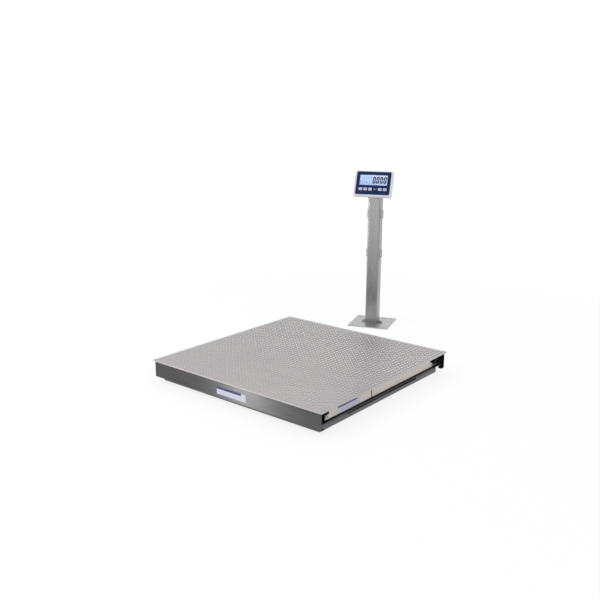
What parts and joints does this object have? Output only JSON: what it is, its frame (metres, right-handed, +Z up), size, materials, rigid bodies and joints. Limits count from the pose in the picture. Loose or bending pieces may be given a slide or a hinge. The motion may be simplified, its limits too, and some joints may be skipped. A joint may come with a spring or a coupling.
{
  "type": "floor scale",
  "caption": "Low square platform floor scale with a lift-up tread-plate deck on load cells, and a separate column stand with a tilting indicator.",
  "frame": {"origin": "on the floor, in the middle of the box around platform and stand together", "axes": "+X along the platform's front skirt towards its right side, +Y from the front skirt to the hinged rear, where the stand is, +Z up"},
  "size_m": [1.25, 2.0662, 1.1344],
  "materials": {
    "tread_plate": "bright-rolled stainless tread plate with raised tears",
    "brushed_sheet": "brushed stainless sheet",
    "brushed_panel": "brushed stainless sheet",
    "frame_steel": "blasted stainless tube and plate",
    "machined_steel": "machined stainless",
    "foot_steel": "turned stainless",
    "fastener_steel": "bright fasteners",
    "black_paint": "semi-gloss black enamel",
    "chromed_rod": "hard-chromed and polished",
    "stand_plate": "matt stainless plate",
    "column_steel": "brushed stainless, grain upright",
    "light_grey_enamel": "light grey satin enamel on steel",
    "navy_foil": "printed polyester foil",
    "clear_window": "clear acrylic plate",
    "display_glass": "back-lit liquid crystal",
    "light_key": "printed key cap",
    "teal_key": "printed key cap",
    "grey_nylon": "moulded nylon",
    "black_nylon": "moulded nylon",
    "circuit_board": "lacquered board"
  },
  "bodies": {
    "root": {"front_rail": "frame_steel", "rear_rail": "frame_steel", "side_rails": "frame_steel", "cross_members": "frame_steel", "corner_plates": "frame_steel", "rear_right_load_cell": "machined_steel", "rear_left_load_cell": "machined_steel", "front_right_load_cell": "machined_steel", "front_left_load_cell": "machined_steel", "load_cell_bolts": "fastener_steel", "load_buttons": "machined_steel", "hinge_ears": "frame_steel", "hinge_pins": "fastener_steel", "spring_base_lugs": "frame_steel", "junction_box": "brushed_sheet", "junction_box_lid": "brushed_sheet", "junction_box_screws": "fastener_steel", "junction_box_glands": "grey_nylon", "summing_board": "circuit_board", "stand_base_plate": "stand_plate", "column": "column_steel", "column_bolts": "fastener_steel", "cable_hooks": "column_steel", "column_bracket": "column_steel", "tilt_knobs": "black_nylon"},
    "deck": {"deck_plate": "tread_plate", "front_skirt": "brushed_sheet", "rear_skirt": "brushed_sheet", "right_side_beam": "brushed_sheet", "left_side_beam": "brushed_sheet", "right_side_panels": "brushed_panel", "left_side_panels": "brushed_panel", "deck_ribs": "frame_steel", "bearing_plates": "machined_steel", "hinge_arms": "frame_steel", "hinge_arm_bolts": "fastener_steel", "spring_deck_lugs": "frame_steel"},
    "right_cylinder": {"right_spring_cylinder": "black_paint"},
    "left_cylinder": {"left_spring_cylinder": "black_paint"},
    "right_rod": {"right_spring_rod": "chromed_rod"},
    "left_rod": {"left_spring_rod": "chromed_rod"},
    "rear_right_foot": {"rear_right_foot": "foot_steel"},
    "rear_left_foot": {"rear_left_foot": "foot_steel"},
    "front_right_foot": {"front_right_foot": "foot_steel"},
    "front_left_foot": {"front_left_foot": "foot_steel"},
    "indicator": {"front_housing": "light_grey_enamel", "membrane_panel": "navy_foil", "display_window": "clear_window", "display_module": "display_glass", "main_board": "circuit_board", "rear_cover": "light_grey_enamel", "rear_cover_screws": "fastener_steel", "indicator_bracket": "column_steel", "indicator_glands": "black_nylon"},
    "power_key": {"power_key": "light_key"},
    "unit_key": {"unit_key": "light_key"},
    "clear_key": {"clear_key": "light_key"},
    "zero_key": {"zero_key": "teal_key"},
    "tare_key": {"tare_key": "light_key"},
    "print_key": {"print_key": "light_key"}
  },
  "joints": [
    {"name": "deck_lift", "type": "hinge", "parent": "root", "child": "deck", "pos_m": [0, 0.18935, 0.048], "axis": [-1, 0, 0], "range_deg": [0, 65]},
    {"name": "right_cylinder_tilt", "type": "hinge", "parent": "root", "child": "right_cylinder", "pos_m": [0.42, -0.33865, 0.06], "axis": [1, 0, 0], "range_deg": [0, 9.68]},
    {"name": "right_rod_slide", "type": "slide", "parent": "right_cylinder", "child": "right_rod", "axis": [0, 0.9997, 0.0239], "range_m": [0, 0.09303]},
    {"name": "left_cylinder_tilt", "type": "hinge", "parent": "root", "child": "left_cylinder", "pos_m": [-0.42, -0.33865, 0.06], "axis": [1, 0, 0], "range_deg": [0, 9.68]},
    {"name": "left_rod_slide", "type": "slide", "parent": "left_cylinder", "child": "left_rod", "axis": [0, 0.9997, 0.0239], "range_m": [0, 0.09303]},
    {"name": "rear_right_foot_turn", "type": "hinge", "parent": "root", "child": "rear_right_foot", "pos_m": [0.486, 0.07735, 0.028], "axis": [0, 0, 1], "continuous": true},
    {"name": "rear_left_foot_turn", "type": "hinge", "parent": "root", "child": "rear_left_foot", "pos_m": [-0.486, 0.07735, 0.028], "axis": [0, 0, 1], "continuous": true},
    {"name": "front_right_foot_turn", "type": "hinge", "parent": "root", "child": "front_right_foot", "pos_m": [0.486, -0.89465, 0.028], "axis": [0, 0, 1], "continuous": true},
    {"name": "front_left_foot_turn", "type": "hinge", "parent": "root", "child": "front_left_foot", "pos_m": [-0.486, -0.89465, 0.028], "axis": [0, 0, 1], "continuous": true},
    {"name": "indicator_tilt", "type": "hinge", "parent": "root", "child": "indicator", "pos_m": [-0.338, 0.84235, 1.005], "axis": [-0.9432, -0.3322, 0], "range_deg": [-8, 25]},
    {"name": "power_key_press", "type": "slide", "parent": "indicator", "child": "power_key", "axis": [-0.308, 0.8745, -0.3746], "range_m": [0, 0.0005], "stiffness_N_per_m": 6000, "springref_m": -0.0002},
    {"name": "unit_key_press", "type": "slide", "parent": "indicator", "child": "unit_key", "axis": [-0.308, 0.8745, -0.3746], "range_m": [0, 0.0005], "stiffness_N_per_m": 6000, "springref_m": -0.0002},
    {"name": "clear_key_press", "type": "slide", "parent": "indicator", "child": "clear_key", "axis": [-0.308, 0.8745, -0.3746], "range_m": [0, 0.0005], "stiffness_N_per_m": 6000, "springref_m": -0.0002},
    {"name": "zero_key_press", "type": "slide", "parent": "indicator", "child": "zero_key", "axis": [-0.308, 0.8745, -0.3746], "range_m": [0, 0.0005], "stiffness_N_per_m": 6000, "springref_m": -0.0002},
    {"name": "tare_key_press", "type": "slide", "parent": "indicator", "child": "tare_key", "axis": [-0.308, 0.8745, -0.3746], "range_m": [0, 0.0005], "stiffness_N_per_m": 6000, "springref_m": -0.0002},
    {"name": "print_key_press", "type": "slide", "parent": "indicator", "child": "print_key", "axis": [-0.308, 0.8745, -0.3746], "range_m": [0, 0.0005], "stiffness_N_per_m": 6000, "springref_m": -0.0002}
  ],
  "couplings": [
    {"joint": "right_cylinder_tilt", "follows": "deck_lift", "ratio": 0.14733},
    {"joint": "right_rod_slide", "follows": "deck_lift", "m_per_rad": 0.08165},
    {"joint": "left_cylinder_tilt", "follows": "deck_lift", "ratio": 0.14733},
    {"joint": "left_rod_slide", "follows": "deck_lift", "m_per_rad": 0.08165}
  ]
}
